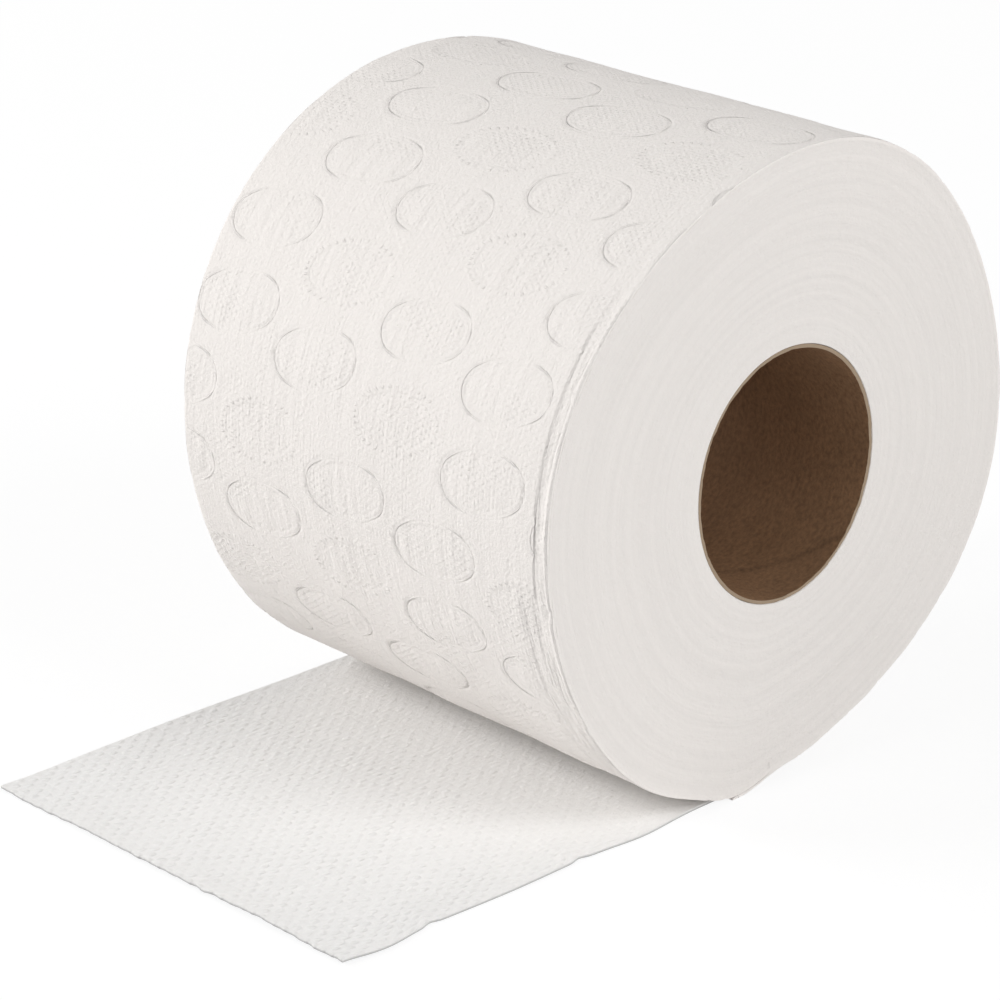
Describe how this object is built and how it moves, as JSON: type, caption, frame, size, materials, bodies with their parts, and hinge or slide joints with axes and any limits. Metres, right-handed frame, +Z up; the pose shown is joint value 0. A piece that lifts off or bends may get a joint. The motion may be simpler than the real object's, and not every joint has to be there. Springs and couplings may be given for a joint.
{
  "type": "toilet paper roll",
  "caption": "Roll of white embossed bathroom tissue wound on a plain cardboard core, lying on its side with its torn loose end on the floor.",
  "frame": {"origin": "on the axis of the core's bore, halfway along the roll", "axes": "+Y along the roll's axis, +Z up, the loose tail lies on the floor towards -X"},
  "size_m": [0.1639, 0.093, 0.1191],
  "materials": {
    "core_cardboard": "matt brown kraft board, wound in a spiral",
    "white_tissue": "soft matt white tissue with pressed ovals"
  },
  "bodies": {
    "root": {"core_tube": "core_cardboard", "tissue_roll": "white_tissue"}
  },
  "joints": []
}
